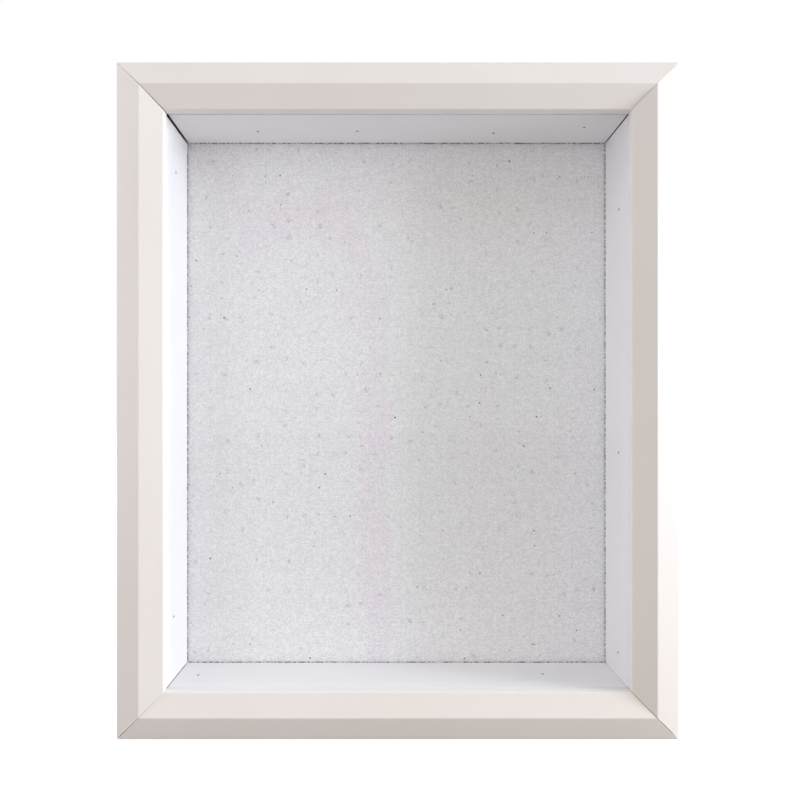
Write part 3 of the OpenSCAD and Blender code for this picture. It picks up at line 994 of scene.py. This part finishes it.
def build_bumpers():
    """Domed bumpers on the back of the top and bottom rails."""
    tall, r, flat = BUMPER_HIGH_Y - BACK_Y, 5 * MM, 3.5 * MM
    arc = [(flat + (r - flat) * math.cos(t), tall - (tall * 0.72) * (1 - math.sin(t)))
           for t in quarter_turn(8)]
    source = lathe([(0, 0), (r * 0.97, 0), (r, 0.2 * MM)] + arc + [(flat * 0.5, tall), (0, tall)], 48)
    every = bmesh.new()
    for side in (TOP, BOTTOM):
        for end in (-1, 1):
            place = outward(end * (WIDTH / 2 - BUMPER_INSET), WALL_T / 2, BACK_Y)
            add_copy(every, source, side_matrix(side) @ place)
    bumpers = new_object("bumpers", every, [rubber])
    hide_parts("wall_bumpers")
    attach(bumpers, "frame")


build_bumpers()


def dress_node(node, material, edge):
    """A CAD node that keeps its shape: welded, edges rounded, and given a material."""
    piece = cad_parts[node]
    piece.data.materials.clear()
    piece.data.materials.append(material)
    piece.data.polygons.foreach_set("use_smooth", [True] * len(piece.data.polygons))
    weld = piece.modifiers.new("weld", "WELD")
    weld.merge_threshold = 0.001 * MM
    soften(piece, edge, segments=2, angle=20)


dress_node("sawtooth_hanger_top", zinc, 0.10 * MM)
dress_node("sawtooth_hanger_side", zinc, 0.10 * MM)
dress_node("corner_v_nails", steel, 0.06 * MM)

# ---- Floor, light and camera -----------------------------------------------------------------

FILL, FILL_COLOUR = 0.725, (1.0, 0.90, 0.75)
# Name, azimuth, elevation, distance, size, radiance and colour, and False where mirrors do not show it
SOFTBOXES = [
    ("window_right", 74.3, 8.5, 1.2, (0.28, 0.35), 42.0, (0.87, 0.93, 0.99)),
    ("near_right", 82, -3, 0.45, (0.3, 0.6), 2.35, (0.79, 0.86, 0.98), False),
    ("sky_above", 0, 60, 0.55, (0.75, 0.25), 0.95, (0.50, 0.76, 0.96)),
    ("left_front", -38, -10, 0.8, (0.35, 0.8), 2.7, (0.90, 0.94, 1.0), False),
    ("near_left", -78, 10, 0.6, (0.5, 0.8), 1.6, (0.78, 0.85, 1.0)),
    ("back_right", 140, 25, 1.2, (0.9, 0.9), 1.0, (1.0, 1.0, 1.0)),
    ("back_left", -140, 25, 1.2, (0.9, 0.9), 0.8, (1.0, 1.0, 1.0)),
]


def build_floor():
    """A plain pale floor, bright enough to read as white, with a faint shadow where the box stands."""
    bm = bmesh.new()
    bmesh.ops.create_grid(bm, x_segments=12, y_segments=12, size=6.0)
    floor = new_object("floor", bm, [])
    s = Shader("floor_white")
    tone = s.mix(s.noise(3.0), (0.355, 0.335, 0.325, 1), (0.375, 0.353, 0.342, 1))
    s.set(Base_Color=tone, Roughness=0.9)
    glow = s.node("ShaderNodeEmission", Color=(1, 1, 1, 1), Strength=0.97)
    seen = s.node("ShaderNodeAddShader")
    s.put(seen.inputs[0], s.main.outputs[0])
    s.put(seen.inputs[1], glow.outputs[0])
    mixed = s.node("ShaderNodeMixShader")
    s.put(mixed.inputs[0], s.node("ShaderNodeLightPath").outputs["Is Camera Ray"])
    s.put(mixed.inputs[1], s.main.outputs[0])
    s.put(mixed.inputs[2], seen.outputs[0])
    s.put(s.output.inputs["Surface"], mixed.outputs[0])
    floor.data.materials.append(s.material)


def build_world():
    world = bpy.data.worlds.new("studio")
    bpy.context.scene.world = world
    world.use_nodes = True
    nodes, links = world.node_tree.nodes, world.node_tree.links
    shown = nodes.new("ShaderNodeBackground")
    shown.inputs["Color"].default_value = (1, 1, 1, 1)
    shown.inputs["Strength"].default_value = 1.0
    fill = nodes["Background"]
    fill.inputs["Color"].default_value = (*FILL_COLOUR, 1)
    fill.inputs["Strength"].default_value = FILL
    rays = nodes.new("ShaderNodeLightPath")
    mixed = nodes.new("ShaderNodeMixShader")
    links.new(rays.outputs["Is Camera Ray"], mixed.inputs[0])
    links.new(fill.outputs[0], mixed.inputs[1])
    links.new(shown.outputs[0], mixed.inputs[2])
    links.new(mixed.outputs[0], nodes["World Output"].inputs["Surface"])


def softbox(name, azimuth, elevation, distance, size, radiance, colour, mirrored=True):
    """An area light aimed at the middle of the window. Azimuth 0 is in front, 90 to the right."""
    data = bpy.data.lights.new(name, "AREA")
    data.shape = "RECTANGLE"
    data.size, data.size_y = size
    data.energy = radiance * math.pi * size[0] * size[1]
    data.color = colour
    lamp = bpy.data.objects.new(name, data)
    collection.objects.link(lamp)
    a, e = math.radians(azimuth), math.radians(elevation)
    out = Vector((math.sin(a) * math.cos(e), -math.cos(a) * math.cos(e), math.sin(e)))
    lamp.location = Vector((0, CREST_Y, HEIGHT / 2)) + out * distance
    lamp.rotation_mode = "QUATERNION"
    lamp.rotation_quaternion = out.to_track_quat("Z", "Y")
    lamp.visible_camera = False
    lamp.visible_glossy = mirrored


build_floor()
build_world()
for box in SOFTBOXES:
    softbox(*box)


def build_camera():
    """Level view into the window from a little left of and below its middle."""
    data = bpy.data.cameras.new("camera")
    data.sensor_width = 36.0
    data.lens = 32.04
    data.shift_x, data.shift_y = 0.0180, 0.0211
    data.clip_start, data.clip_end = 0.01, 50
    camera = bpy.data.objects.new("camera", data)
    collection.objects.link(camera)
    distance, left, below = 313 * MM, 5.4 * MM, 7.1 * MM
    camera.location = (-left, CREST_Y - distance, HEIGHT / 2 - below)
    camera.rotation_euler = (math.pi / 2, 0, 0)
    bpy.context.scene.camera = camera


build_camera()
bpy.context.scene.view_settings.view_transform = "Standard"
